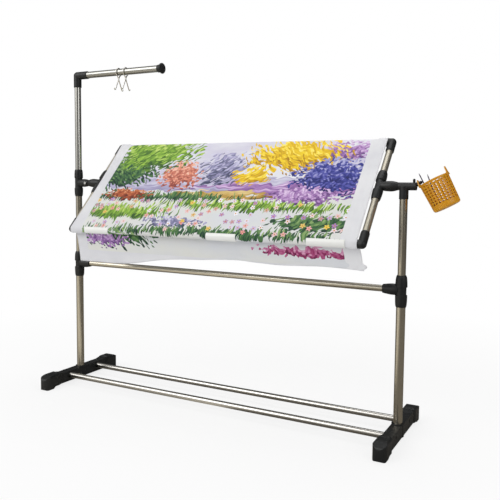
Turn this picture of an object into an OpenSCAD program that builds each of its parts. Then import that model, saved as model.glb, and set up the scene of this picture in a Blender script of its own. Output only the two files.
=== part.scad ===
// Floor-standing embroidery stand: two feet, telescopic posts, a tilting work
// frame with its cloth, an arm for the chart and a small tool basket.
// X runs along the crossbar, Y to the back, Z up; the floor is Z = 0.

/* [Stand] */
// Distance between the two posts, centre to centre
stand_w = 1000; // [700:10:1200]
// Height of the tilt axis above the floor
pivot_z = 604; // [560:1:680]
// Height of the crossbar above the floor
cross_z = 360; // [280:1:400]
// Height of the chart arm above the floor
arm_z = 926; // [850:1:1050]

/* [Tubes] */
// Outside diameter of the lower posts
lower_d = 22; // [20:0.5:24]
// Outside diameter of the upper posts, mast and arm
upper_d = 19; // [16:0.5:19]
// Outside diameter of the stretchers and the crossbar
brace_d = 16; // [13:0.5:18]
// Outside diameter of the side bars of the work frame
bar_d = 17; // [14:0.5:18]
// Outside diameter of the two cloth rods
rod_d = 16; // [13:0.5:17]
// Wall of every tube
tube_wall = 1; // [0.7:0.1:1.2]

/* [Feet] */
// Length of a foot, front to back
foot_len = 316; // [260:2:380]
// Width of the end blocks of a foot
foot_w = 34; // [30:1:44]
// Width of the slim part between the blocks
waist_w = 26; // [24:1:28]
// Height of the end blocks
foot_h = 43; // [41:1:54]
// Height of the slim part of the foot
waist_h = 36; // [33:1:37]
// Height of the arch under the foot
arch_h = 6; // [5:0.5:8]
// Distance of each stretcher from the post, front or back
brace_y = 60.5; // [50:0.5:75]
// Height of the stretchers above the floor
brace_z = 24.5; // [22:0.5:27]

/* [Connectors] */
// Depth of a tube in its socket
socket_depth = 27; // [20:1:32]
// Greatest wall of a barrel socket round its tube
barrel_wall = 3.2; // [2.4:0.1:4]
// Wall of a barrel socket at its mouth
mouth_wall = 1.1; // [0.8:0.1:1.6]
// Wall of a plain sleeve or elbow
sleeve_wall = 1.9; // [1.2:0.1:2.4]
// Radial clearance of a tube fixed in its socket
seat_gap = 0.05; // [0.02:0.01:0.08]
// Radial clearance of a post, mast or pivot pin that turns or slides
run_gap = 0.06; // [0.03:0.01:0.1]

/* [Work frame] */
// Distance of the left side bar from the left post
left_bar_in = 87; // [80:1:110]
// Distance of the right side bar from the right post
right_bar_in = 59; // [56:1:90]
// Lean of the work frame from upright, in degrees
lean = 43; // [10:1:80]
// Tilt axis to the top rod
bar_up = 149; // [120:1:170]
// Tilt axis to the bottom rod
bar_down = 177; // [140:1:190]
// Reach of a frame hub from its side bar
hub_reach = 46; // [42:1:50]
// Diameter of the pivot pins
pin_d = 10; // [8:0.5:12]

/* [Cloth] */
// Thickness of the cloth
cloth_t = 0.8; // [0.6:0.1:1.2]
// Least length of cloth hanging below the bottom rod
flap_drop = 57; // [40:1:60]
// Depth of the hanging folds
fold_depth = 5; // [2:0.5:8]
// Length of a snap clip, left, middle and right
snap_len = [83, 84, 94];
// Gap between an end snap clip and the elbow beside it, left and right
snap_gap = [21.5, 8];
// Place of the middle snap clip's centre, as a share of the way from left to right side bar
snap_share = 0.576; // [0.4:0.002:0.6]

/* [Arm] */
// Reach of the chart arm from the mast
arm_reach = 308; // [200:2:420]
// Distance of each chart clip from the mast
clip_x = [157, 183];
// Wire of the chart clips
wire_d = 3; // [2:0.1:3.6]
// Length of a chart clip below the arm's axis
clip_drop = 51; // [40:1:65]

/* [Basket] */
// Outside diameter of the basket at its rim
basket_d = 71; // [60:1:84]
// Outside diameter of the basket at its floor
basket_floor_d = 64; // [52:1:70]
// Depth of the basket
basket_h = 70; // [56:1:80]
// Wall of the basket
basket_wall = 2; // [1.6:0.1:3]
// Lean of the basket on its peg, in degrees
basket_lean = 28; // [10:1:35]
// Length of the long and the short needle in the basket
needle_len = [96, 87];
// Rows of holes in the basket's side
lattice_rows = 8; // [4:1:9]
// Holes round the basket in each row
lattice_cols = 24; // [16:2:26]
// Diameter of the needles
needle_d = 2.6; // [2:0.1:3.5]

/* [Hidden] */
$fn = 48;

black = [0.10, 0.105, 0.105];
steel = [0.66, 0.65, 0.61];
cloth_white = [0.86, 0.86, 0.89];
clip_white = [0.93, 0.93, 0.92];
amber = [0.80, 0.54, 0.13];

eps = 0.01;
half_w = stand_w / 2;
lower_r = lower_d / 2;
upper_r = upper_d / 2;
brace_r = brace_d / 2;
bar_r = bar_d / 2;
rod_r = rod_d / 2;
pin_r = pin_d / 2;
end_gap = 0.2;
face_gap = 0.4;

// Foot
pad_len = 28;
block_len = 54;
nose_h = foot_h - 8;
post_seat_z = 9;
collar_r = lower_r + 4;
collar_z = waist_h + 2;
boss_r = brace_r + 4;
brace_stop = 3;
screw_r = 2;
screw_head_r = 3.8;
screw_head_t = 2.4;
screw_sink = 3.4;
plug_len = 14;

// Connectors
step_down = 13;
step_up = 7;
tee_body_r = upper_r + 2.5;
cross_arm = 44;
pivot_body_r = upper_r + 1.6;
pivot_step = 15.5;
pivot_socket = 25;
run_r = upper_r - 0.3;
run_end = 28;
leg_len = 30;
leg_wall = 1.3;
bar_body_r = bar_r + 2;
bar_step = 15;
bar_socket = 29;
hub_end_r = 9;
elbow_leg = 34;
rod_leg = 30;
mast_seat = 4;

// Places that the pieces share
left_bar_x = -half_w + left_bar_in;
right_bar_x = half_w - right_bar_in;
left_hub_x = left_bar_x - hub_reach;
right_hub_x = right_bar_x + hub_reach;
post_top = pivot_z - mast_seat;
post_foot_z = 190;
lower_top = cross_z - step_down - end_gap;
arm_cap_t = 8;
arm_cap_r = 15;

// Basket: its rim centre, from the peg that carries its left ear
ear_h = 16.5;
ear_hole_r = 4.3;
ear_hole_h = 8;
ear_t = 2.2;
ear_gap = 0.35;
peg_r = ear_hole_r - 0.4;
peg_x = half_w + run_end + 6.4;
peg_z = pivot_z + 7;
peg_tip = 4;
ear_in = basket_d / 2 - 1.5;
basket_x = peg_x + ear_in * cos(basket_lean) + ear_hole_h * sin(basket_lean);
basket_z = peg_z + ear_in * sin(basket_lean) - ear_hole_h * cos(basket_lean);

cup_round = 5;
rim_band = 4;
rim_step = 0.8;
floor_band = 12;
lattice_bar = 2.4;
lattice_w = 5.2;

// Middle of the whole stand, so that the origin is the middle of its base
reach_right = basket_x + (basket_floor_d / 2 - cup_round) * cos(basket_lean)
    + (basket_h - cup_round) * sin(basket_lean) + cup_round;
reach_left = -half_w - foot_w / 2;
origin_x = (reach_left + reach_right) / 2;

// Points on an arc, in the order of its angles
function arc(c, r, from, to, n = 6) =
    [for (i = [0:n]) let (a = from + (to - from) * i / n) [c[0] + r * cos(a), c[1] + r * sin(a)]];
function ramp(v) = let (t = min(1, max(0, v))) t * t * (3 - 2 * t);

module place() translate([-origin_x, 0, 0]) children();

// A child drawn along +Z is turned to run along +X or -X
module along_x(sign = 1) rotate([0, sign * 90, 0]) children();

// The work frame's own axes: +Z up its side bars, origin on the tilt axis
module in_frame(x = 0) translate([x, 0, pivot_z]) rotate([-lean, 0, 0]) children();

// Tube from z = 0 upwards
module tube(d, len) difference() {
    cylinder(d = d, h = len);
    translate([0, 0, -eps]) cylinder(d = d - 2 * tube_wall, h = len + 2 * eps);
}

// Barrel sleeve: full at its root, drawn in on an ellipse to a thin mouth
module barrel(root_r, mouth_r, len) {
    steps = 7;
    curve = [for (i = [0:steps]) let (z = len * i / steps)
        [mouth_r + (root_r - mouth_r) * sqrt(1 - pow(i / steps, 2)), z]];
    rotate_extrude() polygon(concat([[0, 0], [root_r - 0.8, -0.8], [root_r, 0]], curve, [[0, len]]));
}

// Spindle-shaped hub along +Z: swells to its widest at mid, then narrows to its end
module spindle(start_r, wide_r, end_r, mid, len) {
    steps = 5;
    rise = [for (i = [0:steps]) let (f = i / steps) [start_r + (wide_r - start_r) * sin(90 * f), mid * f]];
    fall = [for (i = [1:steps]) let (f = i / steps)
        [wide_r - (wide_r - end_r) * (1 - cos(90 * f)), mid + (len - mid) * f]];
    rotate_extrude() polygon(concat([[0, 0]], rise, fall, [[0, len]]));
}

// Foot: blocks at both ends, a slim arched waist, a post collar and stretcher bosses
module foot_outline() {
    end = foot_len / 2;
    in_y = end - block_len;
    lip = 1.5;
    half = [
        [end - pad_len - 6, arch_h],
        [end - pad_len, 0],
        [end - 4, 0],
        [end - 1, 3],
        each arc([end - 9, nose_h - 9], 9, 0, 60, 4),
        [end - 18, foot_h - 3],
        [end - 24, foot_h - lip],
        [in_y + 9, foot_h - lip],
        [in_y + 7, foot_h],
        [in_y + 3, foot_h],
        [in_y, foot_h - 3],
        [in_y - 12, waist_h + 2],
        [in_y - 20, waist_h]
    ];
    other = [for (i = [len(half) - 1:-1:0]) [-half[i][0], half[i][1]]];
    polygon(concat(half, other));
}
module foot_plan() {
    end = foot_len / 2;
    blend = 5;
    nose_r = foot_w / 2 - 2;
    quarter = [
        each arc([end - nose_r, foot_w / 2 - nose_r], nose_r, 0, 90, 6),
        [end - block_len + blend, foot_w / 2],
        [end - block_len - blend, waist_w / 2]
    ];
    n = len(quarter) - 1;
    back = [for (i = [n:-1:0]) [-quarter[i][0], quarter[i][1]]];
    side = concat(quarter, back);
    polygon(concat(side, [for (i = [len(side) - 1:-1:0]) [side[i][0], -side[i][1]]]));
}
module foot_front() {
    round = 9;
    flare = 1.5;
    polygon(concat(
        [[foot_w / 2 - flare, 0], [foot_w / 2, 8]],
        arc([foot_w / 2 - round, foot_h - round], round, 0, 90),
        arc([-foot_w / 2 + round, foot_h - round], round, 90, 180),
        [[-foot_w / 2, 8], [-foot_w / 2 + flare, 0]]));
}
module foot(out) {
    difference() {
        union() {
            intersection() {
                translate([-foot_w / 2, 0, 0]) rotate([90, 0, 90]) linear_extrude(foot_w) foot_outline();
                rotate([0, 0, 90]) linear_extrude(foot_h) foot_plan();
                translate([0, foot_len / 2, 0]) rotate([90, 0, 0]) linear_extrude(foot_len) foot_front();
            }
            translate([0, 0, arch_h]) cylinder(r = collar_r, h = collar_z - arch_h);
            for (y = [-brace_y, brace_y])
                translate([-waist_w / 2, y, brace_z]) along_x() cylinder(r = boss_r, h = waist_w);
        }
        translate([0, 0, post_seat_z]) cylinder(r = lower_r + seat_gap, h = foot_h);
        for (y = [-brace_y, brace_y]) translate([0, y, brace_z]) {
            translate([-out * waist_w, 0, 0]) along_x(out)
                cylinder(r = brace_r + seat_gap, h = waist_w + brace_stop);
            along_x(out) cylinder(r = screw_r + seat_gap, h = foot_w);
            translate([out * (waist_w / 2 - screw_sink), 0, 0]) along_x(out)
                cylinder(r = screw_head_r + 0.4, h = foot_w);
        }
    }
}
module foot_left() color(black) place() translate([-half_w, 0, 0]) foot(-1);
module foot_right() color(black) place() translate([half_w, 0, 0]) foot(1);

// Stretchers with a threaded plug in each end and a screw through the foot
brace_end = half_w + brace_stop - end_gap;
module stretcher(side) translate([-brace_end, side * brace_y, brace_z]) along_x() tube(brace_d, 2 * brace_end);
module front_stretcher() color(steel) place() stretcher(-1);
module back_stretcher() color(steel) place() stretcher(1);
module each_stretcher_end()
    for (x = [-1, 1], y = [-1, 1]) translate([x * brace_end, y * brace_y, brace_z]) along_x(x) children();
module stretcher_plugs() color(black) place() each_stretcher_end()
    translate([0, 0, -plug_len]) difference() {
        cylinder(r = brace_r - tube_wall - seat_gap, h = plug_len);
        translate([0, 0, -eps]) cylinder(r = screw_r + seat_gap, h = plug_len + 2 * eps);
    }
module stretcher_screws() color(steel) place() each_stretcher_end() {
    head_z = half_w + waist_w / 2 - screw_sink - brace_end;
    translate([0, 0, 2 - plug_len]) cylinder(r = screw_r, h = head_z + plug_len - 2 + eps);
    difference() {
        translate([0, 0, head_z]) cylinder(r1 = screw_head_r, r2 = screw_head_r - 1, h = screw_head_t);
        for (turn = [0, 90]) rotate([0, 0, turn]) translate([-2.4, -0.45, head_z + screw_head_t - 1.2])
            cube([4.8, 0.9, 2]);
    }
}

// Lower posts stand in the feet, up to the step inside the middle tees
module lower_post() translate([0, 0, post_seat_z + end_gap]) tube(lower_d, lower_top - post_seat_z - end_gap);
module lower_post_left() color(steel) place() translate([-half_w, 0, 0]) lower_post();
module lower_post_right() color(steel) place() translate([half_w, 0, 0]) lower_post();

// Middle tee: barrel sockets for the post below, the sliding post above and the crossbar
module mid_tee(inward) translate([0, 0, cross_z]) difference() {
    root_r = lower_r + barrel_wall;
    body_len = step_up + step_down;
    union() {
        translate([0, 0, -step_down]) cylinder(r = tee_body_r, h = body_len);
        translate([0, 0, step_up]) barrel(root_r, upper_r + mouth_wall, socket_depth + 1);
        translate([0, 0, -step_down]) mirror([0, 0, 1]) barrel(root_r, lower_r + mouth_wall, socket_depth + 1);
        translate([inward * tee_body_r / 2, 0, 0]) along_x(inward)
            spindle(tee_body_r, root_r - 0.6, brace_r + 2.6, tee_body_r, cross_arm - tee_body_r / 2);
    }
    translate([0, 0, -60]) cylinder(r = upper_r + run_gap, h = 120);
    translate([0, 0, -step_down - 60]) cylinder(r = lower_r + seat_gap, h = 60);
    translate([inward * cross_stop, 0, 0]) along_x(inward) cylinder(r = brace_r + seat_gap, h = 60);
}
cross_stop = lower_r + 4;
module mid_tee_left() color(black) place() translate([-half_w, 0, 0]) mid_tee(1);
module mid_tee_right() color(black) place() translate([half_w, 0, 0]) mid_tee(-1);
module crossbar() color(steel) place()
    translate([-half_w + cross_stop + end_gap, 0, cross_z]) along_x()
        tube(brace_d, stand_w - 2 * (cross_stop + end_gap));

// Upper posts slide in the middle tees and carry the pivot tees
module upper_post() translate([0, 0, post_foot_z]) tube(upper_d, post_top - post_foot_z - end_gap);
module upper_post_left() color(steel) place() translate([-half_w, 0, 0]) upper_post();
module upper_post_right() color(steel) place() translate([half_w, 0, 0]) upper_post_short();
module upper_post_short()
    translate([0, 0, post_foot_z]) tube(upper_d, pivot_z - run_r - post_foot_z - end_gap);

// Left pivot tee: a socket for the post, one for the mast, and the arm that holds the pivot pin
left_arm = left_hub_x + half_w - face_gap;
pin_in = 26;
module pivot_tee_left() color(black) place() translate([-half_w, 0, pivot_z]) difference() {
    root_r = upper_r + barrel_wall;
    union() {
        translate([0, 0, -pivot_step]) cylinder(r = pivot_body_r, h = 2 * pivot_step);
        for (up = [0, 1]) mirror([0, 0, up]) translate([0, 0, pivot_step])
            barrel(root_r, upper_r + mouth_wall, pivot_socket);
        along_x() spindle(pivot_body_r - 1, upper_r + 2.4, hub_end_r, left_arm * 0.55, left_arm);
    }
    translate([0, 0, -mast_seat - 60]) cylinder(r = upper_r + seat_gap, h = 60);
    translate([0, 0, mast_seat - 2]) cylinder(r = upper_r + run_gap, h = 60);
    translate([left_arm - pin_in, 0, 0]) along_x() cylinder(r = pin_r + seat_gap, h = 60);
    translate([screw_place, -upper_r, 0]) rotate([90, 0, 0]) cylinder(r = screw_head_r + 0.3, h = 10);
    translate([screw_place, 0, 0]) rotate([90, 0, 0]) cylinder(r = screw_r + seat_gap, h = 20);
}
screw_place = left_arm - 6;

// Right pivot tee: a plain right-angle sleeve on the post with a run across its top
module pivot_tee_right() color(black) place() translate([half_w, 0, pivot_z]) difference() {
    sleeve_r = upper_r + leg_wall;
    run_start = right_hub_x + face_gap - half_w;
    union() {
        translate([run_start, 0, 0]) along_x() cylinder(r = run_r, h = run_end - run_start);
        translate([0, 0, -leg_len]) cylinder(r = sleeve_r, h = leg_len);
        translate([run_end - nub_in, 0, 0]) {
            cylinder(r = nub_r, h = nub_h);
            translate([0, 0, nub_h]) sphere(r = nub_r);
        }
    }
    translate([0, 0, -run_r - 60]) cylinder(r = upper_r + seat_gap, h = 60);
    translate([run_start - eps, 0, 0]) along_x() cylinder(r = pin_r + seat_gap, h = pin_in);
    translate([run_end - hook_plug, 0, 0]) along_x() cylinder(r = hook_plug_r + seat_gap, h = 60);
}
hook_plug = 12;
hook_plug_r = 5;
nub_r = 3;
nub_in = 4.5;
nub_h = 15;

// Pivot pins: fixed in the pivot tees, free to turn in the frame's hubs
pin_out = 30;
module pivot_pin_left() color(steel) place()
    translate([-half_w + left_arm - pin_in + end_gap, 0, pivot_z]) along_x()
        cylinder(r = pin_r, h = pin_in + pin_out);
module pivot_pin_right() color(steel) place()
    translate([right_hub_x + face_gap + pin_in - end_gap, 0, pivot_z]) along_x(-1)
        cylinder(r = pin_r, h = pin_in + pin_out);
module pivot_screw() color(steel) place()
    translate([-half_w + screw_place, 0, pivot_z]) rotate([90, 0, 0]) difference() {
        union() {
            translate([0, 0, pin_r + end_gap]) cylinder(r = screw_r, h = upper_r - pin_r);
            translate([0, 0, upper_r + end_gap]) cylinder(r = screw_head_r, h = screw_head_t);
        }
        translate([-3, -0.5, upper_r + screw_head_t - 0.8]) cube([6, 1, 3]);
    }

// Basket hook: a plug in the right tee with a slanted peg, square to the ear that hangs on it
module basket_hook() color(black) place() {
    shoulder = 12;
    translate([half_w + run_end, 0, pivot_z]) {
        translate([end_gap - hook_plug, 0, 0]) along_x() cylinder(r = hook_plug_r, h = hook_plug);
        along_x() cylinder(r = run_r, h = 1.2);
    }
    difference() {
        translate([peg_x, 0, peg_z]) rotate([0, 90 - basket_lean, 0]) {
            translate([0, 0, -shoulder]) cylinder(r = peg_r + 1.2, h = shoulder - ear_t / 2 - ear_gap);
            translate([0, 0, -shoulder]) cylinder(r = peg_r, h = shoulder + ear_t / 2 + peg_tip);
            translate([0, 0, ear_t / 2 + peg_tip]) sphere(r = peg_r);
        }
        translate([half_w + run_end - 2 * shoulder, -shoulder, pivot_z - shoulder])
            cube([2 * shoulder, 2 * shoulder, 3 * shoulder]);
    }
}

// Frame tee: barrel sockets for the upper and lower side bar and the hub that turns on the pin
module bar_tee(outward) difference() {
    root_r = bar_r + barrel_wall + 0.8;
    union() {
        translate([0, 0, -bar_step]) cylinder(r = bar_body_r, h = 2 * bar_step);
        for (up = [0, 1]) mirror([0, 0, up]) translate([0, 0, bar_step])
            barrel(root_r, bar_r + mouth_wall + 0.4, bar_socket);
        along_x(outward) spindle(bar_body_r - 1, root_r, hub_end_r, hub_reach * 0.6, hub_reach);
    }
    for (up = [0, 1]) mirror([0, 0, up]) translate([0, 0, bar_stop])
        cylinder(r = bar_r + seat_gap, h = 60);
    translate([outward * (hub_reach - pin_out - 1), 0, 0]) along_x(outward)
        cylinder(r = pin_r + run_gap, h = 60);
}
bar_stop = bar_step + 2;
module bar_tee_left() color(black) place() in_frame(left_bar_x) bar_tee(-1);
module bar_tee_right() color(black) place() in_frame(right_bar_x) bar_tee(1);

// Side bars run from the frame tees to the corner elbows
bar_end_in = rod_r + 4;
module side_bar(x, reach, up) place() in_frame(x) mirror([0, 0, up ? 0 : 1])
    translate([0, 0, bar_stop + end_gap]) tube(bar_d, reach - bar_end_in - bar_stop - 2 * end_gap);
module upper_bar_left() color(steel) side_bar(left_bar_x, bar_up, true);
module upper_bar_right() color(steel) side_bar(right_bar_x, bar_up, true);
module lower_bar_left() color(steel) side_bar(left_bar_x, bar_down, false);
module lower_bar_right() color(steel) side_bar(right_bar_x, bar_down, false);

// Corner elbow: the bar's leg points along +Z, the rod's leg inwards
module elbow(inward, bar_tube_r, rod_tube_r, bar_leg_len, rod_leg_len, bar_stop_z, rod_stop_x) difference() {
    out_r = max(bar_tube_r, rod_tube_r) + sleeve_wall;
    lip = 2;
    union() {
        sphere(r = out_r);
        cylinder(r = out_r, h = bar_leg_len - lip);
        translate([0, 0, bar_leg_len - lip]) cylinder(r1 = out_r, r2 = out_r - 0.7, h = lip);
        along_x(inward) {
            cylinder(r = out_r, h = rod_leg_len - lip);
            translate([0, 0, rod_leg_len - lip]) cylinder(r1 = out_r, r2 = out_r - 0.7, h = lip);
        }
    }
    translate([0, 0, bar_stop_z]) cylinder(r = bar_tube_r + seat_gap, h = 60);
    translate([inward * rod_stop_x, 0, 0]) along_x(inward) cylinder(r = rod_tube_r + seat_gap, h = 60);
}
rod_end_in = bar_r + 2;
module frame_elbow(x, inward, t) place() in_frame(x) translate([0, 0, t]) mirror([0, 0, t > 0 ? 1 : 0])
    elbow(inward, bar_r, rod_r, elbow_leg, rod_leg, bar_end_in, rod_end_in);
module top_elbow_left() color(black) frame_elbow(left_bar_x, 1, bar_up);
module top_elbow_right() color(black) frame_elbow(right_bar_x, -1, bar_up);
module bottom_elbow_left() color(black) frame_elbow(left_bar_x, 1, -bar_down);
module bottom_elbow_right() color(black) frame_elbow(right_bar_x, -1, -bar_down);

// Cloth rods between the elbows
module rod(t) place() in_frame(left_bar_x + rod_end_in + end_gap) translate([0, 0, t]) along_x()
    tube(rod_d, right_bar_x - left_bar_x - 2 * (rod_end_in + end_gap));
module top_rod() color(steel) rod(bar_up);
module bottom_rod() color(steel) rod(-bar_down);

// Snap clip: a split sleeve pressed over the cloth on the bottom rod, its mouth towards the panel
snap_in_r = rod_r + cloth_t + 0.45;
snap_wall = 1.5;
snap_mouth = 120;
snap_mouth_at = 198;
snap_from = [left_bar_x + rod_leg + snap_gap[0],
    left_bar_x + (right_bar_x - left_bar_x) * snap_share - snap_len[1] / 2,
    right_bar_x - rod_leg - snap_gap[1] - snap_len[2]];
module snap_clip(i) color(clip_white) place() in_frame(snap_from[i])
    translate([0, 0, -bar_down]) along_x() difference() {
        cylinder(r = snap_in_r + snap_wall, h = snap_len[i]);
        translate([0, 0, -eps]) cylinder(r = snap_in_r, h = snap_len[i] + 2 * eps);
        translate([0, 0, -eps]) linear_extrude(snap_len[i] + 2 * eps)
            polygon([[0, 0], each arc([0, 0], 3 * rod_r, snap_mouth_at - snap_mouth / 2,
                snap_mouth_at + snap_mouth / 2, 4)]);
    }
module snap_clip_left() snap_clip(0);
module snap_clip_middle() snap_clip(1);
module snap_clip_right() snap_clip(2);

// Cloth: a closed sheet between two grids of points, one cloth thickness apart
module sheet(front, back) {
    rows = len(front);
    cols = len(front[0]);
    pts = concat([for (r = front) each r], [for (r = back) each r]);
    n = rows * cols;
    function at(r, c) = r * cols + c;
    function quad(a, b, c, d) = [[a, b, c], [a, c, d]];
    polyhedron(pts, concat(
        [for (r = [0:rows - 2], c = [0:cols - 2])
            each quad(at(r, c), at(r, c + 1), at(r + 1, c + 1), at(r + 1, c))],
        [for (r = [0:rows - 2], c = [0:cols - 2])
            each quad(n + at(r, c), n + at(r + 1, c), n + at(r + 1, c + 1), n + at(r, c + 1))],
        [for (c = [0:cols - 2]) each quad(at(0, c), n + at(0, c), n + at(0, c + 1), at(0, c + 1))],
        [for (c = [0:cols - 2]) each quad(at(rows - 1, c), at(rows - 1, c + 1),
            n + at(rows - 1, c + 1), n + at(rows - 1, c))],
        [for (r = [0:rows - 2]) each quad(at(r, 0), at(r + 1, 0), n + at(r + 1, 0), n + at(r, 0))],
        [for (r = [0:rows - 2]) each quad(at(r, cols - 1), n + at(r, cols - 1),
            n + at(r + 1, cols - 1), at(r + 1, cols - 1))]), convexity = 6);
}
cloth_left = left_bar_x + 2;
cloth_right = right_bar_x - 9;
elbow_out_r = max(bar_r, rod_r) + sleeve_wall;
climb = 7;
cloth_mid_cols = 18;
// Column places: close at both edges, where the cloth climbs from the rods over the elbows' legs
cloth_x = let (from = left_bar_x + rod_leg + climb, to = right_bar_x - rod_leg - climb) concat(
    [cloth_left, left_bar_x + rod_leg / 2, from - climb + 0.5],
    [for (i = [0:cloth_mid_cols]) from + (to - from) * i / cloth_mid_cols],
    [to + climb - 0.5, right_bar_x - rod_leg / 2, cloth_right]);
// Height of the cloth off the rods' centres: tight on the rods, lifted over the elbows' legs
function on_leg(x) = min(x - left_bar_x, right_bar_x - x) < rod_leg + climb / 2;
leg_lift = elbow_out_r + 0.65;
function lift(x) = on_leg(x) ? leg_lift : rod_r + 0.25;
// Share of the way from the top rod down to the bottom one
rod_span = bar_up + bar_down;
function share_down(t) = (bar_up - t) / rod_span;
// Slack between the rods: shallow waves that die out at both rods
slack_depth = 1.2;
function slack(x, t) = slack_depth * (1 + sin(x * 1.9 + t * 0.8)) * sin(180 * share_down(t));
// Stretched between the rods, the left edge draws in between its corners
edge_bow = 7;
bow_reach = 40;
function bowed(x, t) = x + edge_bow * sin(180 * share_down(t)) * max(0, 1 - (x - cloth_left) / bow_reach);
wrap_top = 125;
wrap_rod = 200;
wrap_leg = 155;
function wrap_bottom(x) = on_leg(x) ? wrap_leg : wrap_rod;
top_steps = 6;
panel_steps = 9;
bottom_steps = 9;
panel_rows = top_steps + panel_steps + bottom_steps;
// One row of the panel: round the top rod, straight down the front, round the bottom rod to its back
function on_rod(x, t, angle, extra) = let (r = lift(x) + extra) [x, -r * cos(angle), t + r * sin(angle)];
function panel_row(k, extra) = [for (x = cloth_x)
    k <= top_steps
        ? on_rod(x, bar_up, wrap_top * (1 - k / top_steps), extra)
        : k <= top_steps + panel_steps
            ? let (t = bar_up - rod_span * (k - top_steps) / panel_steps)
                [bowed(x, t), -lift(x) - slack(x, t) - extra, t]
            : on_rod(x, -bar_down, -(k - top_steps - panel_steps) * wrap_bottom(x) / bottom_steps, extra)];
module cloth_panel() color(cloth_white) place() in_frame() sheet(
    [for (k = [0:panel_rows]) panel_row(k, cloth_t)],
    [for (k = [0:panel_rows]) panel_row(k, 0)]);

// Hanging end of the cloth: it swings on the bottom rod, and leans out enough to pass the crossbar
rod_y = -bar_down * sin(lean);
rod_z = pivot_z - bar_down * cos(lean);
flap_left = left_bar_x + 4;
flap_right = right_bar_x - 9;
flap_left_slant = 9;
flap_right_slant = 10;
flap_dip = 35;
flap_out = 2;
flap_lean = 16;
flap_top = max(snap_in_r + snap_wall, leg_lift + cloth_t) + 0.3;
flap_rows = 6;
flap_cols = 40;
function fold(f, d) = fold_depth * ramp(d) * (sin(f * 360 * 5.5) * 0.6 + sin(f * 360 * 2.2 + 40) * 0.4);
function hem(f) = flap_drop + flap_dip * (1 - ramp((f - 0.04) / 0.5));
function flap_row(d, extra) = [for (i = [0:flap_cols]) let (
    f = i / flap_cols,
    x = flap_left + (flap_right - flap_left) * f + d * (flap_left_slant * (1 - f) + flap_right_slant * f))
    [x, -flap_out - d * flap_lean - abs(fold(f, d)) - extra, -flap_top - d * (hem(f) - flap_top)]];
module cloth_flap() color(cloth_white) place() translate([0, rod_y, rod_z]) sheet(
    [for (r = [0:flap_rows]) flap_row(r / flap_rows, cloth_t)],
    [for (r = [0:flap_rows]) flap_row(r / flap_rows, 0)]);

// Mast, elbow and chart arm turn together in the left pivot tee
elbow_bar_leg = 35;
elbow_arm_leg = 41;
arm_stop = upper_r + 2;
mast_foot = pivot_z + mast_seat;
module mast() color(steel) place() translate([-half_w, 0, mast_foot])
    tube(upper_d, arm_z - arm_stop - end_gap - mast_foot);
module mast_elbow() color(black) place() translate([-half_w, 0, arm_z]) mirror([0, 0, 1])
    elbow(1, upper_r, upper_r, elbow_bar_leg, elbow_arm_leg, arm_stop, arm_stop);
module arm_tube() color(steel) place() translate([-half_w + arm_stop + end_gap, 0, arm_z]) along_x()
    tube(upper_d, arm_reach - arm_stop - 2 * end_gap);
module arm_cap() color(black) place() translate([-half_w + arm_reach, 0, arm_z]) along_x() {
    skirt = 10;
    difference() {
        translate([0, 0, -skirt]) cylinder(r1 = upper_r + mouth_wall, r2 = upper_r + sleeve_wall, h = skirt);
        translate([0, 0, -skirt - eps]) cylinder(r = upper_r + seat_gap, h = skirt + eps - end_gap / 2);
    }
    rotate_extrude() polygon(concat([[0, 0]],
        arc([arm_cap_r - 3, 3], 3, -90, 60, 5), [[arm_cap_r * 0.55, arm_cap_t - 0.6], [0, arm_cap_t]]));
}

// Chart clip: one spring wire, a ring over the arm whose ends cross and curl into two jaws
module wire(a, b) {
    d = b - a;
    translate(a) rotate([0, acos(d[2] / norm(d)), atan2(d[1], d[0])]) cylinder(d = wire_d, h = norm(d));
    translate(b) sphere(d = wire_d + bead_over);
}
module chart_clip(i) color(steel) place() translate([-half_w + clip_x[i], 0, arm_z - ring_sag]) {
    ring_gap = 50;
    crossing = -16.5;
    jaw_y = 15;
    curl_r = 3;
    curl_steps = 4;
    along_x() rotate([0, 0, ring_gap / 2]) rotate_extrude(angle = 360 - ring_gap)
        translate([ring_r, 0]) circle(d = wire_d);
    for (s = [-1, 1]) {
        beside = s * (wire_d / 2 - 0.1);
        ring_end = ring_r * [0, s * sin(ring_gap / 2), -cos(ring_gap / 2)];
        knee = [beside, 0, crossing];
        jaw = [beside, -s * jaw_y, curl_r - clip_drop];
        curl = [for (k = [0:curl_steps]) let (a = 180 * k / curl_steps)
            jaw + curl_r * [0, -s * (1 - cos(a)), -sin(a)]];
        translate(ring_end) sphere(d = wire_d + bead_over);
        wire(ring_end, knee);
        wire(knee, jaw);
        for (k = [1:curl_steps]) wire(curl[k - 1], curl[k]);
    }
}
bead_over = 0.06;
ring_r = upper_r + 0.8 + wire_d / 2;
ring_sag = 0.5;
module chart_clip_1() chart_clip(0);
module chart_clip_2() chart_clip(1);

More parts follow.
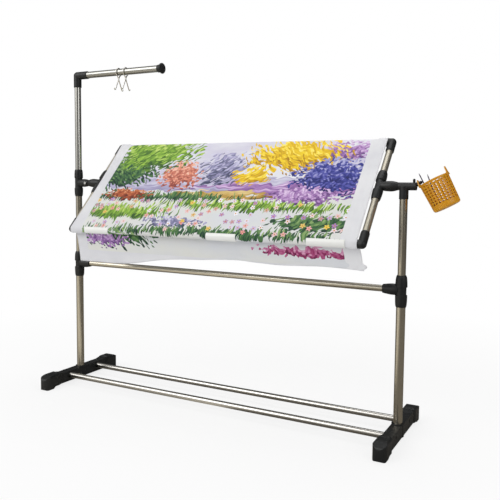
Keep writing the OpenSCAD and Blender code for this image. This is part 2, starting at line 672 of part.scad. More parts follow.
// Basket: a tapered lattice cup with a rim band and two pierced ears, leaning on its peg
module in_basket() place() translate([basket_x, 0, basket_z]) rotate([0, -basket_lean, 0]) children();
module cup(rim_r, floor_r, bottom, top) rotate_extrude()
    polygon([[0, bottom], [floor_r - cup_round, bottom],
        each arc([floor_r - cup_round, cup_round + bottom], cup_round, -75, 0, 5), [rim_r, top], [0, top]]);
module basket() color(amber) in_basket() {
    rim_r = basket_d / 2;
    floor_r = basket_floor_d / 2;
    pitch = (basket_h - floor_band - rim_band) / lattice_rows;
    difference() {
        union() {
            cup(rim_r - rim_step, floor_r, -basket_h, 0);
            translate([0, 0, -rim_band + 1]) cylinder(r = rim_r, h = rim_band - 1);
        }
        cup(rim_r - rim_step - basket_wall, floor_r - basket_wall, basket_wall - basket_h, 0.1);
        for (row = [0:lattice_rows - 1], col = [0:lattice_cols - 1])
            rotate([0, 0, (col + 0.5) * 360 / lattice_cols])
                translate([rim_r - 8, -lattice_w / 2, floor_band - basket_h + pitch * row + lattice_bar / 2])
                    cube([12, lattice_w, pitch - lattice_bar]);
    }
    for (s = [-1, 1]) basket_ear(s);
}
module basket_ear(s) {
    ear_w = 15;
    tip_w = 6.4;
    translate([s * ear_in, 0, 0]) rotate([90, 0, 90]) translate([0, 0, -ear_t / 2]) linear_extrude(ear_t)
        difference() {
            polygon([[-ear_w, -3], [ear_w, -3], [ear_w, 0], [ear_w * 0.62, 2.5],
                each arc([0, ear_h - tip_w], tip_w, 20, 160, 6), [-ear_w * 0.62, 2.5], [-ear_w, 0]]);
            translate([0, ear_hole_h]) circle(r = ear_hole_r);
        }
}

// Two long needles stand in the basket
module needle(u, v, len, lean_u) in_basket() translate([u, v, basket_wall - basket_h + end_gap])
    rotate([0, lean_u, 0]) {
        cylinder(d = needle_d, h = len - 6);
        translate([0, 0, len - 6]) cylinder(d1 = needle_d, d2 = 0.8, h = 6);
    }
module needle_long() color([0.25, 0.25, 0.28]) needle(-23, -4, needle_len[0], 0);
module needle_short() color([0.25, 0.22, 0.30]) needle(-18, 6, needle_len[1], 6);

foot_left();
foot_right();
front_stretcher();
back_stretcher();
stretcher_plugs();
stretcher_screws();
lower_post_left();
lower_post_right();
mid_tee_left();
mid_tee_right();
crossbar();
upper_post_left();
upper_post_right();
pivot_tee_left();
pivot_tee_right();
pivot_pin_left();
pivot_pin_right();
pivot_screw();
basket_hook();
bar_tee_left();
bar_tee_right();
upper_bar_left();
upper_bar_right();
lower_bar_left();
lower_bar_right();
top_elbow_left();
top_elbow_right();
bottom_elbow_left();
bottom_elbow_right();
top_rod();
bottom_rod();
snap_clip_left();
snap_clip_middle();
snap_clip_right();
cloth_panel();
cloth_flap();
mast();
mast_elbow();
arm_tube();
arm_cap();
chart_clip_1();
chart_clip_2();
basket();
needle_long();
needle_short();
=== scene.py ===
"""Floor-standing embroidery stand: steel tubes in black moulded sockets, a tilting work frame with
printed cloth, a chart arm with two wire clips and an orange lattice basket."""

import math

import bmesh
import bpy
from mathutils import Matrix, Vector


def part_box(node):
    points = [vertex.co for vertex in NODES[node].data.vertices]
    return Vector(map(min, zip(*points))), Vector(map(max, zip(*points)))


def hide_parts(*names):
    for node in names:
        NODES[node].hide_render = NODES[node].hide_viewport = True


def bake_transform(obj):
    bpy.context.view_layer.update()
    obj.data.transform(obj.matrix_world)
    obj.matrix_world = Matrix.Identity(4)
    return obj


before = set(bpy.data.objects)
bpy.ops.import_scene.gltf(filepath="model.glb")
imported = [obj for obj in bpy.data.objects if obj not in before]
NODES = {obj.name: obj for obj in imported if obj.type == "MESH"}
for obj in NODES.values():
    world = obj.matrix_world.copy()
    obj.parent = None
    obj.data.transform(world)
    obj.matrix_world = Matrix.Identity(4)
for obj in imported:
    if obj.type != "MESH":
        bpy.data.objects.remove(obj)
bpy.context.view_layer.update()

# Camera: the photograph was taken from the right, a little above the work frame, with a normal lens.
# Its place is given from the middle of the posts on the floor.
LENS_MM = 46.72
CAMERA_FROM_POSTS = Vector((0.8952, -1.5105, 0.6098))
CAMERA_TURN = math.radians(28.04)
CAMERA_DIP = math.radians(4.30)
CAMERA_ROLL = math.radians(0.503)
CAMERA_SHIFT = (0.0022, -0.0374)
SENSOR_MM = 36
VIEW_REACH = 60


def middle(name):
    """Centre of a CAD node's box."""
    low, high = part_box(name)
    return (Vector(low) + Vector(high)) / 2


posts_middle = (middle("lower_post_left") + middle("lower_post_right")) / 2
posts_middle.z = 0
camera = bpy.data.objects.new("camera", bpy.data.cameras.new("camera"))
bpy.context.scene.collection.objects.link(camera)
camera.matrix_world = (
    Matrix.Translation(posts_middle + CAMERA_FROM_POSTS)
    @ Matrix.Rotation(CAMERA_TURN, 4, "Z")
    @ Matrix.Rotation(math.pi / 2 - CAMERA_DIP, 4, "X")
    @ Matrix.Rotation(CAMERA_ROLL, 4, "Z")
)
camera.data.lens = LENS_MM
camera.data.sensor_width = SENSOR_MM
camera.data.shift_x, camera.data.shift_y = CAMERA_SHIFT
camera.data.clip_end = VIEW_REACH
bpy.context.scene.camera = camera
bpy.context.scene.view_settings.view_transform = "Standard"

# Studio: a white room of soft light. The floor is plain and pale, keeps the stand's shadow and fades
# to white away from it. Square lamps (name, place, side, power) light the stand from the left front,
# the right and above.
FLOOR_SIZE = 14.0
FLOOR_WHITE = (0.93, 0.93, 0.93, 1)
FLOOR_ROUGHNESS = 0.9
WHITENESS_NEAR = 0.80
FADE_FROM = 0.5
FADE_TO = 1.6
ROOM_GREY = (0.80, 0.80, 0.80, 1)
ROOM_STRENGTH = 0.52
WHITE = (1, 1, 1, 1)
LAMP_AIM = Vector((0, 0, 0.5))
LAMPS = (
    ("key softbox", (-1.9, -2.6, 2.6), 2.4, 54),
    ("side softbox", (2.8, -1.2, 1.6), 1.8, 18),
    ("top softbox", (0.2, 0.6, 3.0), 2.0, 28),
)


def new_material(name):
    """A node material, with its tree and its Principled shader."""
    material = bpy.data.materials.new(name)
    material.use_nodes = True
    tree = material.node_tree
    shader = tree.nodes["Principled BSDF"]
    return material, tree, shader


def node(tree, kind, **settings):
    """Adds a shader node: in_Name sets its input of that name, and the rest are its properties."""
    made = tree.nodes.new(kind)
    for key, value in settings.items():
        if key.startswith("in_"):
            made.inputs[key[3:].replace("_", " ")].default_value = value
        else:
            setattr(made, key, value)
    return made


def set_inputs(made, **values):
    """Sets a node's inputs by name, with _ for a space."""
    for key, value in values.items():
        made.inputs[key.replace("_", " ")].default_value = value


def link(tree, source, target):
    """Links an output socket to an input socket."""
    tree.links.new(source, target)


def feed(tree, source, target):
    """Gives an input socket a number, a colour or another node's output."""
    if isinstance(source, bpy.types.NodeSocket):
        tree.links.new(source, target)
    else:
        target.default_value = source


def maths(tree, operation, first, second=0.0, clamp=False):
    """The result of a math node on two numbers or sockets."""
    made = node(tree, "ShaderNodeMath", operation=operation, use_clamp=clamp)
    feed(tree, first, made.inputs[0])
    feed(tree, second, made.inputs[1])
    return made.outputs["Value"]


def vectors(tree, operation, first, second):
    """The result of a vector math node on two vectors or sockets."""
    made = node(tree, "ShaderNodeVectorMath", operation=operation)
    feed(tree, first, made.inputs[0])
    feed(tree, second, made.inputs[1])
    return made.outputs["Value" if operation in ("LENGTH", "DOT_PRODUCT") else "Vector"]


def range_of(tree, value, low, high, start=0.0, end=1.0):
    """Maps start to end onto low to high."""
    made = node(tree, "ShaderNodeMapRange")
    set_inputs(made, From_Min=start, From_Max=end, To_Min=low, To_Max=high)
    link(tree, value, made.inputs["Value"])
    return made.outputs["Result"]


def mixed_colour(tree, share, first, second):
    """A colour between two values or sockets, by a share from 0 to 1."""
    mix = node(tree, "ShaderNodeMix", data_type="RGBA")
    feed(tree, share, mix.inputs["Factor"])
    ends = [socket for socket in mix.inputs if socket.type == "RGBA"]
    feed(tree, first, ends[0])
    feed(tree, second, ends[1])
    return [socket for socket in mix.outputs if socket.type == "RGBA"][0]


def between(tree, value, low, high):
    """1 where a value lies between two bounds, and 0 elsewhere."""
    above = maths(tree, "GREATER_THAN", value, low)
    return maths(tree, "MULTIPLY", above, maths(tree, "LESS_THAN", value, high))


# What the tubes mirror: a bright window in front on the left, half-way up, in a dim room. It gives
# level tubes a bright band over a dark one, and draws the edges of every tube dark. The floor is
# mirrored as a dim one too, lighter towards the window, which carries the band down the posts.
WINDOW_WAY = (-0.47, -0.674, 0.566)
WINDOW_EDGES = (0.15, 0.95)
WINDOW_FALL = 3.0
WINDOW_TINT = (1.0, 0.985, 0.95, 1)
MIRRORED_ROOM = (0.09, 1.30)
FLOOR_GLEAM = 1.9
DIM_FLOOR = (0.25, 0.225, 0.19, 1)
LIT_FLOOR = (1.0, 0.93, 0.80, 1)


def window_share(tree, direction):
    """How bright the window makes a direction of the mirrored room, from 0 to 1."""
    facing = vectors(tree, "DOT_PRODUCT", direction, WINDOW_WAY)
    return maths(tree, "POWER", range_of(tree, facing, 0.0, 1.0, *WINDOW_EDGES), WINDOW_FALL)


floor_mesh = bpy.data.meshes.new("floor")
shape = bmesh.new()
bmesh.ops.create_grid(shape, x_segments=2, y_segments=2, size=FLOOR_SIZE / 2)
shape.to_mesh(floor_mesh)
shape.free()
floor = bpy.data.objects.new("floor", floor_mesh)
bpy.context.scene.collection.objects.link(floor)
floor_material, tree, shader = new_material("pale floor")
set_inputs(shader, Roughness=FLOOR_ROUGHNESS)
light_path = node(tree, "ShaderNodeLightPath")
floor_place = node(tree, "ShaderNodeTexCoord")
floor_way = vectors(tree, "NORMALIZE", floor_place.outputs["Object"], (0, 0, 0))
# In reflections the floor shows a painted colour: dim, with a painted gleam lighter towards the window.
gleam = maths(tree, "MULTIPLY", window_share(tree, floor_way), FLOOR_GLEAM, clamp=True)
mirrored_floor = mixed_colour(tree, gleam, DIM_FLOOR, LIT_FLOOR)
floor_colour = mixed_colour(tree, light_path.outputs["Is Glossy Ray"], FLOOR_WHITE, mirrored_floor)
link(tree, floor_colour, shader.inputs["Base Color"])
white_glow = node(tree, "ShaderNodeEmission", in_Color=WHITE, in_Strength=1.0)
floor_mix = node(tree, "ShaderNodeMixShader")
distance = vectors(tree, "LENGTH", floor_place.outputs["Object"], (0, 0, 0))
whiteness = range_of(tree, distance, WHITENESS_NEAR, 1.0, FADE_FROM, FADE_TO)
seen_whiteness = maths(tree, "MULTIPLY", light_path.outputs["Is Camera Ray"], whiteness)
link(tree, seen_whiteness, floor_mix.inputs["Fac"])
link(tree, shader.outputs["BSDF"], floor_mix.inputs[1])
link(tree, white_glow.outputs["Emission"], floor_mix.inputs[2])
link(tree, floor_mix.outputs["Shader"], tree.nodes["Material Output"].inputs["Surface"])
floor.data.materials.append(floor_material)

world = bpy.data.worlds.new("studio")
bpy.context.scene.world = world
world.use_nodes = True
tree = world.node_tree
background = tree.nodes["Background"]
set_inputs(background, Color=ROOM_GREY, Strength=ROOM_STRENGTH)
seen_white = node(tree, "ShaderNodeBackground", in_Color=WHITE, in_Strength=1.0)
room_place = node(tree, "ShaderNodeTexCoord")
mirrored = node(tree, "ShaderNodeBackground", in_Color=WINDOW_TINT)
brightness = window_share(tree, room_place.outputs["Generated"])
link(tree, range_of(tree, brightness, *MIRRORED_ROOM), mirrored.inputs["Strength"])
light_path = node(tree, "ShaderNodeLightPath")
mirror_mix = node(tree, "ShaderNodeMixShader")
camera_mix = node(tree, "ShaderNodeMixShader")
link(tree, light_path.outputs["Is Glossy Ray"], mirror_mix.inputs["Fac"])
link(tree, background.outputs["Background"], mirror_mix.inputs[1])
link(tree, mirrored.outputs["Background"], mirror_mix.inputs[2])
link(tree, light_path.outputs["Is Camera Ray"], camera_mix.inputs["Fac"])
link(tree, mirror_mix.outputs["Shader"], camera_mix.inputs[1])
link(tree, seen_white.outputs["Background"], camera_mix.inputs[2])
link(tree, camera_mix.outputs["Shader"], tree.nodes["World Output"].inputs["Surface"])

for name, place, side, power in LAMPS:
    lamp = bpy.data.lights.new(name, "AREA")
    lamp.shape = "SQUARE"
    lamp.size = side
    lamp.energy = power
    held = bpy.data.objects.new(name, lamp)
    bpy.context.scene.collection.objects.link(held)
    held.location = place
    held.rotation_mode = "QUATERNION"
    held.rotation_quaternion = (LAMP_AIM - Vector(place)).to_track_quat("-Z", "Y")


def new_group(name, inputs, outputs):
    """A shader node group and its two end nodes. Its vectors are the inputs given as three numbers
    and the output Centre."""
    group = bpy.data.node_groups.new(name, "ShaderNodeTree")
    for label, value in inputs.items():
        kind = "NodeSocketVector" if isinstance(value, tuple) else "NodeSocketFloat"
        socket = group.interface.new_socket(label, in_out="INPUT", socket_type=kind)
        socket.default_value = value
    for label in outputs:
        kind = "NodeSocketVector" if label == "Centre" else "NodeSocketFloat"
        group.interface.new_socket(label, in_out="OUTPUT", socket_type=kind)
    return group, group.nodes.new("NodeGroupInput"), group.nodes.new("NodeGroupOutput")


def placed_group(tree, group, **values):
    """Puts a node group into a tree and feeds its inputs."""
    made = tree.nodes.new("ShaderNodeGroup")
    made.node_tree = group
    for key, value in values.items():
        feed(tree, value, made.inputs[key.replace("_", " ")])
    return made


# Grain is the fine unevenness of a moulded or rolled surface: a height and a soft mottling.
grain, ends_in, ends_out = new_group(
    "surface grain", {"scale": 900.0, "mottle scale": 30.0}, ("Height", "Mottle")
)
coordinates = node(grain, "ShaderNodeTexCoord")
fine = node(grain, "ShaderNodeTexNoise", in_Detail=3.0, in_Roughness=0.6)
coarse = node(grain, "ShaderNodeTexNoise", in_Detail=4.0, in_Roughness=0.55)
link(grain, coordinates.outputs["Object"], fine.inputs["Vector"])
link(grain, coordinates.outputs["Object"], coarse.inputs["Vector"])
link(grain, ends_in.outputs["scale"], fine.inputs["Scale"])
link(grain, ends_in.outputs["mottle scale"], coarse.inputs["Scale"])
link(grain, fine.outputs["Fac"], ends_out.inputs["Height"])
link(grain, coarse.outputs["Fac"], ends_out.inputs["Mottle"])
GRAIN_DEPTH = 0.0003


def grained(tree, shader, scale, mottle_scale, relief, colours):
    """Gives plastic its grain and two mottled colours, and returns the mottling and the bump."""
    made = placed_group(tree, grain, scale=scale, mottle_scale=mottle_scale)
    bump = node(tree, "ShaderNodeBump", in_Strength=relief, in_Distance=GRAIN_DEPTH)
    link(tree, made.outputs["Height"], bump.inputs["Height"])
    link(tree, bump.outputs["Normal"], shader.inputs["Normal"])
    link(tree, mixed_colour(tree, made.outputs["Mottle"], *colours), shader.inputs["Base Color"])
    return made.outputs["Mottle"], bump


def repaint(names, material):
    """Gives CAD nodes one material."""
    for name in names:
        NODES[name].data.materials.clear()
        NODES[name].data.materials.append(material)


# Black sockets and feet: injection-moulded plastic with a fine eroded grain, slightly glossy.
# They keep their solids, and their shading rounds the sharp edges as a mould does.
MOULDED_BLACKS = ((0.007, 0.008, 0.009, 1), (0.014, 0.015, 0.015, 1))
MOULD_ROUNDING = 0.0014
MOULDED_NODES = (
    "foot_left", "foot_right", "mid_tee_left", "mid_tee_right", "pivot_tee_left", "pivot_tee_right",
    "bar_tee_left", "bar_tee_right", "top_elbow_left", "top_elbow_right", "bottom_elbow_left",
    "bottom_elbow_right", "mast_elbow", "arm_cap", "basket_hook", "stretcher_plugs",
)
black_plastic, tree, shader = new_material("moulded black plastic")
mottle, bump = grained(
    tree, shader, scale=1400.0, mottle_scale=45.0, relief=0.22, colours=MOULDED_BLACKS
)
rounded = node(tree, "ShaderNodeBevel", samples=6, in_Radius=MOULD_ROUNDING)
link(tree, rounded.outputs["Normal"], bump.inputs["Normal"])
link(tree, range_of(tree, mottle, 0.36, 0.50), shader.inputs["Roughness"])
set_inputs(shader, Specular_IOR_Level=0.36)
repaint(MOULDED_NODES, black_plastic)

# Tubes: thin-walled steel, drawn and lacquered. The die leaves fine lines along each tube, so the
# grain is stretched along its length. Posts, rods and crossbar are a warm grey, and the work frame's
# bars a duller one. Mast, arm and stretchers are a neutral grey, and the arm is the darkest.
STEEL_WARM = ((0.44, 0.41, 0.34, 1), (0.56, 0.52, 0.43, 1))
STEEL_PALE = ((0.46, 0.457, 0.43, 1), (0.58, 0.575, 0.54, 1))
STEEL_NEUTRAL = ((0.41, 0.40, 0.378, 1), (0.50, 0.488, 0.462, 1))
STEEL_DIM = ((0.30, 0.30, 0.28, 1), (0.37, 0.37, 0.345, 1))
STEEL_ROUGHNESS = (0.14, 0.30)
FRAME_DULLNESS = 0.22
LINE_STRETCH = (1.5, 420, 420)
LINE_DEPTH = 0.0002
rod_step = middle("top_rod") - middle("bottom_rod")
FRAME_LEAN = math.atan2(rod_step.y, rod_step.z)
ACROSS = (0, 0, 0)
UPRIGHT = (0, math.pi / 2, 0)
ALONG_BARS = (FRAME_LEAN, math.pi / 2, 0)


def drawn_steel(name, turn, colours, dullness=0.0):
    """Lacquered steel whose drawing lines run along the axis that turn brings to X."""
    material, tree, shader = new_material(name)
    coordinates = node(tree, "ShaderNodeTexCoord")
    turned = node(tree, "ShaderNodeMapping", in_Rotation=turn)
    stretched = node(tree, "ShaderNodeMapping", in_Scale=LINE_STRETCH)
    lines = node(tree, "ShaderNodeTexNoise", in_Scale=1.0, in_Detail=3.0, in_Roughness=0.65)
    link(tree, coordinates.outputs["Object"], turned.inputs["Vector"])
    link(tree, turned.outputs["Vector"], stretched.inputs["Vector"])
    link(tree, stretched.outputs["Vector"], lines.inputs["Vector"])
    smudge = placed_group(tree, grain, scale=500.0, mottle_scale=9.0)
    bump = node(tree, "ShaderNodeBump", in_Strength=0.10, in_Distance=LINE_DEPTH)
    link(tree, lines.outputs["Fac"], bump.inputs["Height"])
    link(tree, bump.outputs["Normal"], shader.inputs["Normal"])
    link(tree, mixed_colour(tree, smudge.outputs["Mottle"], *colours), shader.inputs["Base Color"])
    low, high = (value + dullness for value in STEEL_ROUGHNESS)
    link(tree, range_of(tree, lines.outputs["Fac"], low, high), shader.inputs["Roughness"])
    set_inputs(shader, Metallic=1.0, Coat_Weight=0.25, Coat_Roughness=0.12)
    return material


repaint(("crossbar", "top_rod", "bottom_rod"), drawn_steel("drawn steel along X", ACROSS, STEEL_WARM))
repaint(("lower_post_left", "lower_post_right", "upper_post_left", "upper_post_right"),
        drawn_steel("drawn steel along Z", UPRIGHT, STEEL_WARM))
repaint(("upper_bar_left", "upper_bar_right", "lower_bar_left", "lower_bar_right"),
        drawn_steel("drawn steel along frame", ALONG_BARS, STEEL_WARM, FRAME_DULLNESS))
repaint(("mast",), drawn_steel("drawn steel of the mast", UPRIGHT, STEEL_PALE))
repaint(("arm_tube",), drawn_steel("drawn steel of the arm", ACROSS, STEEL_DIM))
repaint(("front_stretcher", "back_stretcher"),
        drawn_steel("drawn steel of the stretchers", ACROSS, STEEL_NEUTRAL))

# Screws and pivot pins: zinc-plated steel, brighter than the tubes.
ZINC = ((0.55, 0.55, 0.54, 1), (0.72, 0.72, 0.70, 1))
repaint(("stretcher_screws", "pivot_screw", "pivot_pin_left", "pivot_pin_right"),
        drawn_steel("zinc plate", ACROSS, ZINC))

# Chart clips: bright spring wire, bent into a ring and two curled jaws, hung on the arm.
BRIGHT_WIRE = ((0.74, 0.72, 0.68, 1), (0.92, 0.90, 0.86, 1))
repaint(("chart_clip_1", "chart_clip_2"), drawn_steel("bright spring wire", ACROSS, BRIGHT_WIRE))

# Needles: two long needles with a dark violet-grey coat, stood in the basket.
NEEDLE_COATS = ((0.085, 0.08, 0.11, 1), (0.16, 0.14, 0.20, 1))
needle_coat, tree, shader = new_material("dark needle coat")
coat_grain = placed_group(tree, grain, scale=700.0, mottle_scale=60.0)
link(tree, mixed_colour(tree, coat_grain.outputs["Mottle"], *NEEDLE_COATS), shader.inputs["Base Color"])
link(tree, range_of(tree, coat_grain.outputs["Height"], 0.25, 0.45), shader.inputs["Roughness"])
set_inputs(shader, Metallic=0.6)
repaint(("needle_long", "needle_short"), needle_coat)

# Snap clips: split sleeves of white plastic pressed over the cloth on the bottom rod.
SNAP_WHITES = ((0.84, 0.84, 0.80, 1), (0.90, 0.90, 0.88, 1))
snap_white, tree, shader = new_material("white snap plastic")
mottle, _ = grained(tree, shader, scale=800.0, mottle_scale=25.0, relief=0.08, colours=SNAP_WHITES)
link(tree, range_of(tree, mottle, 0.26, 0.36), shader.inputs["Roughness"])
repaint(("snap_clip_left", "snap_clip_middle", "snap_clip_right"), snap_white)

# Basket: injection-moulded orange plastic, semi-glossy and a little translucent, so that the lattice
# is bright where light comes through and brown in the shade.
BASKET_ORANGES = ((0.60, 0.26, 0.008, 1), (0.69, 0.325, 0.013, 1))
LIGHT_DEPTH = (0.004, 0.002, 0.0006)
basket_orange, tree, shader = new_material("orange basket plastic")
grained(tree, shader, scale=900.0, mottle_scale=22.0, relief=0.10, colours=BASKET_ORANGES)
set_inputs(shader, Roughness=0.28, Specular_IOR_Level=0.35)
set_inputs(shader, Subsurface_Weight=0.15, Subsurface_Radius=LIGHT_DEPTH, Subsurface_Scale=1.0)
repaint(("basket",), basket_orange)

# Cloth: one sheet of printed cotton canvas. It goes over the top rod, down the front, round the
# bottom rod under the snap clips, and its free end turns over behind that rod and hangs. The hem is
# lower at its left, and a small ear stands out of the right edge just above it.
CANVAS_THICK = 0.0006
ROWS_TOP, ROWS_PANEL, ROWS_BOTTOM, ROWS_FOLD, ROWS_FLAP = 12, 40, 18, 6, 20
CANVAS_ROWS = ROWS_TOP + ROWS_PANEL + ROWS_BOTTOM + ROWS_FOLD + ROWS_FLAP
CANVAS_COLS = 150
GRID_HALF = 0.5
TOP_WRAP = math.radians(125)
BOTTOM_WRAP = math.radians(222)
ROD_GAP, ELBOW_GAP = 0.0003, 0.0004
ELBOW_STEP = 0.008
HANG_LAYERS = 2.4
FOLD_RISE = 0.003
FOLD_LENGTH = 0.005
EDGE_BOW = 0.007
BOW_REACH = 0.04
SLACK_DEPTH, SLACK_WAVE = 0.0011, 0.0009
HEM_SHORT = 0.0605
HEM_EXTRA = 0.0315
HEM_SLOPE_START, HEM_SLOPE_LENGTH = 0.10, 0.44
HEM_RIPPLE, RIPPLE_PACE, RIPPLE_GROWTH = 0.002, 23, 4
DRAPE_DEPTH = 0.0055
FLAP_SLANT = (0.009, 0.010)
SLANT_PACE = 2.5
EAR_REACH = 0.009
EAR_TOP, EAR_END, EAR_EASE = 0.72, 0.97, 0.1
# Waves of the hanging folds: share, pace across and start. Those of the stretched cloth have a pace
# down it too, before their start.
DRAPE_WAVES = ((0.6, 34.6, 0.0), (0.4, 13.8, 0.7), (0.5, 71, 2))
SLACK_WAVES = ((0.5, 33, 2.1, 0.0), (0.25, 71, -3.4, 1.0))

rod_top, rod_bottom = middle("top_rod"), middle("bottom_rod")
ROD_R = (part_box("top_rod")[1][1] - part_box("top_rod")[0][1]) / 2
ELBOW_R = middle("lower_bar_left").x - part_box("bottom_elbow_left")[0][0]
up_frame = (rod_top - rod_bottom).normalized()
out_frame = Vector((0, -up_frame.z, up_frame.y))
PANEL_H = (rod_top - rod_bottom).length
CLOTH_X0, CLOTH_X1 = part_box("cloth_panel")[0][0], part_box("cloth_panel")[1][0]
FLAP_X0, FLAP_X1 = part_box("cloth_flap")[0][0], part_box("cloth_flap")[1][0]
ELBOW_INNER_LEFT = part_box("bottom_elbow_left")[1][0]
ELBOW_INNER_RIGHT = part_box("bottom_elbow_right")[0][0]
CLIP_R = (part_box("snap_clip_left")[1][1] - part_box("snap_clip_left")[0][1]) / 2
TOP_LENGTH = ROD_R * TOP_WRAP
BOTTOM_LENGTH = ROD_R * BOTTOM_WRAP
FLAT_W = CLOTH_X1 - CLOTH_X0
FLAT_H = TOP_LENGTH + PANEL_H + BOTTOM_LENGTH + FOLD_LENGTH + HEM_SHORT + HEM_EXTRA


def ease(value):
    """0 below 0, 1 above 1, and smooth in between."""
    t = min(1.0, max(0.0, value))
    return t * t * (3 - 2 * t)


def over_elbow(x):
    """1 where the cloth lies on the elbows' legs, 0 where it lies on the bare rods."""
    left = 1 - ease((x - ELBOW_INNER_LEFT) / ELBOW_STEP)
    right = 1 - ease((ELBOW_INNER_RIGHT - x) / ELBOW_STEP)
    return max(left, right)


def rest_radius(x):
    """Distance of the cloth's inner face from a rod's axis."""
    return ROD_R + ROD_GAP + (ELBOW_R - ROD_R + ELBOW_GAP) * over_elbow(x)


def hang_radius(x):
    """How far behind the bottom rod's axis the free end hangs: clear of the clips and the wrap."""
    return max(CLIP_R + CANVAS_THICK, rest_radius(x) + HANG_LAYERS * CANVAS_THICK)


def round_rod(centre, angle, radius):
    """A point on a circle about a rod: angle 0 is the frame's front, and it goes up from there."""
    return centre + out_frame * radius * math.cos(angle) + up_frame * radius * math.sin(angle)


def hem_depth(f):
    """How far the free end hangs below the bottom rod, from the left edge, f 0, to the right, f 1."""
    ripple = HEM_RIPPLE * math.sin(f * RIPPLE_PACE) * ease(f * RIPPLE_GROWTH)
    slope = 1 - ease((f - HEM_SLOPE_START) / HEM_SLOPE_LENGTH)
    return HEM_SHORT + HEM_EXTRA * slope - ripple


def hanging_wave(f, d):
    """The folds of the free end, which grow towards the hem."""
    wave = sum(share * math.sin(f * pace + start) for share, pace, start in DRAPE_WAVES)
    return DRAPE_DEPTH * ease(d) * (1 + wave) / 2


def panel_slack(x, s):
    """The stretched cloth's shallow waves, which die out at both rods."""
    wave = sum(
        share * math.sin(x * pace_across + s * pace_down + start)
        for share, pace_across, pace_down, start in SLACK_WAVES
    )
    return math.sin(math.pi * s) * (SLACK_DEPTH + SLACK_WAVE * wave)


def edge_pull(x, s):
    """How far the left edge draws in between its two corners."""
    return EDGE_BOW * math.sin(math.pi * s) * max(0.0, 1 - (x - CLOTH_X0) / BOW_REACH)


def flap_edges(d):
    """Where the free end's left and right edges are, from the bottom rod, d 0, to the hem, d 1."""
    ear = EAR_REACH * ease((d - EAR_TOP) / EAR_EASE) * ease((EAR_END - d) / EAR_EASE)
    return FLAP_X0 + FLAP_SLANT[0] * d, FLAP_X1 - FLAP_SLANT[1] * (1 - d) + ear


def cloth_point(f, row):
    """A point of the cloth's inner face, f across it from the left, row down it from its top edge."""
    x = CLOTH_X0 + FLAT_W * f
    r = rest_radius(x)
    if row <= ROWS_TOP:
        angle = TOP_WRAP * (1 - row / ROWS_TOP)
        return round_rod(Vector((x, rod_top.y, rod_top.z)), angle, r)
    row -= ROWS_TOP
    if row <= ROWS_PANEL:
        s = row / ROWS_PANEL
        start = round_rod(Vector((x + edge_pull(x, s), rod_top.y, rod_top.z)), 0, r)
        return start - up_frame * PANEL_H * s + out_frame * panel_slack(x, s)
    row -= ROWS_PANEL
    low_rod = Vector((x, rod_bottom.y, rod_bottom.z))
    if row <= ROWS_BOTTOM:
        return round_rod(low_rod, -BOTTOM_WRAP * row / ROWS_BOTTOM, r)
    row -= ROWS_BOTTOM
    behind = low_rod.y + hang_radius(x)
    if row <= ROWS_FOLD:
        q = row / ROWS_FOLD
        wrap_end = round_rod(low_rod, -BOTTOM_WRAP, r)
        crest = Vector((x, (wrap_end.y + behind) / 2, low_rod.z + FOLD_RISE))
        return wrap_end.lerp(crest, q).lerp(crest.lerp(Vector((x, behind, low_rod.z)), q), q)
    d = (row - ROWS_FOLD) / ROWS_FLAP
    left_edge, right_edge = flap_edges(d)
    hung_x = x + (left_edge + (right_edge - left_edge) * f - x) * ease(d * SLANT_PACE)
    return Vector((hung_x, behind + hanging_wave(f, d), low_rod.z - hem_depth(f) * d))


def flat_down(f, row):
    """How far down the flat sheet a point lies, from the sheet's top edge."""
    parts = (
        (ROWS_TOP, TOP_LENGTH),
        (ROWS_PANEL, PANEL_H),
        (ROWS_BOTTOM, BOTTOM_LENGTH),
        (ROWS_FOLD, FOLD_LENGTH),
        (ROWS_FLAP, hem_depth(f)),
    )
    down = 0.0
    for rows, length in parts:
        down += length * min(1.0, max(0.0, row / rows))
        row -= rows
    return down


def place_of(vert):
    """Where a vertex of the flat grid is on the sheet: its share across and its row down."""
    return vert.co.x + GRID_HALF, (GRID_HALF - vert.co.y) * CANVAS_ROWS


canvas_mesh = bpy.data.meshes.new("canvas")
shape = bmesh.new()
bmesh.ops.create_grid(shape, x_segments=CANVAS_COLS, y_segments=CANVAS_ROWS, size=GRID_HALF)
flat_uv = shape.loops.layers.uv.new("flat")
for face in shape.faces:
    face.smooth = True
    for corner in face.loops:
        across, row = place_of(corner.vert)
        corner[flat_uv].uv = (across, 1 - flat_down(across, row) / FLAT_H)
for vert in shape.verts:
    vert.co = cloth_point(*place_of(vert))
shape.to_mesh(canvas_mesh)
shape.free()
canvas = bpy.data.objects.new("canvas", canvas_mesh)
bpy.context.scene.collection.objects.link(canvas)
thickness = canvas.modifiers.new("cloth thickness", "SOLIDIFY")
thickness.thickness = CANVAS_THICK
thickness.offset = 1.0
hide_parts("cloth_panel", "cloth_flap")
# The sheet passes from the frame to the hanging end just below the rod.
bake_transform(canvas)

# Print on the cloth: a wildflower meadow in brush dabs, of this library's own design. Every mass of
# leaves is made of whole dabs, each with its own tone, and places on the cloth are in metres: across
# from its left edge and down from the top rod's front.
PRINT_LEFT, PRINT_RIGHT, PRINT_BOTTOM = 0.036, 0.042, 0.420
SKY_END, GROUND_START = 0.15, 0.20
MEADOW_TOP, MEADOW_BOTTOM = 0.212, 0.318
FLOWER_SPACING, FLOWER_SHARE = 0.021, 0.42
BEND_SCALE, BEND_REACH = 26.0, 0.022
CLOUD_SCALE, CLOUD_STRETCH = 9.0, (0.5, 1.3, 1.0)
CLOUD_EDGES = (0.35, 0.65)


def seen(red, green, blue):
    """A colour as it is read off a screen, 0 to 255, as the shader's linear colour."""
    linear = [((c / 255 + 0.055) / 1.055) ** 2.4 if c > 10 else c / 3294 for c in (red, green, blue)]
    return (*linear, 1)


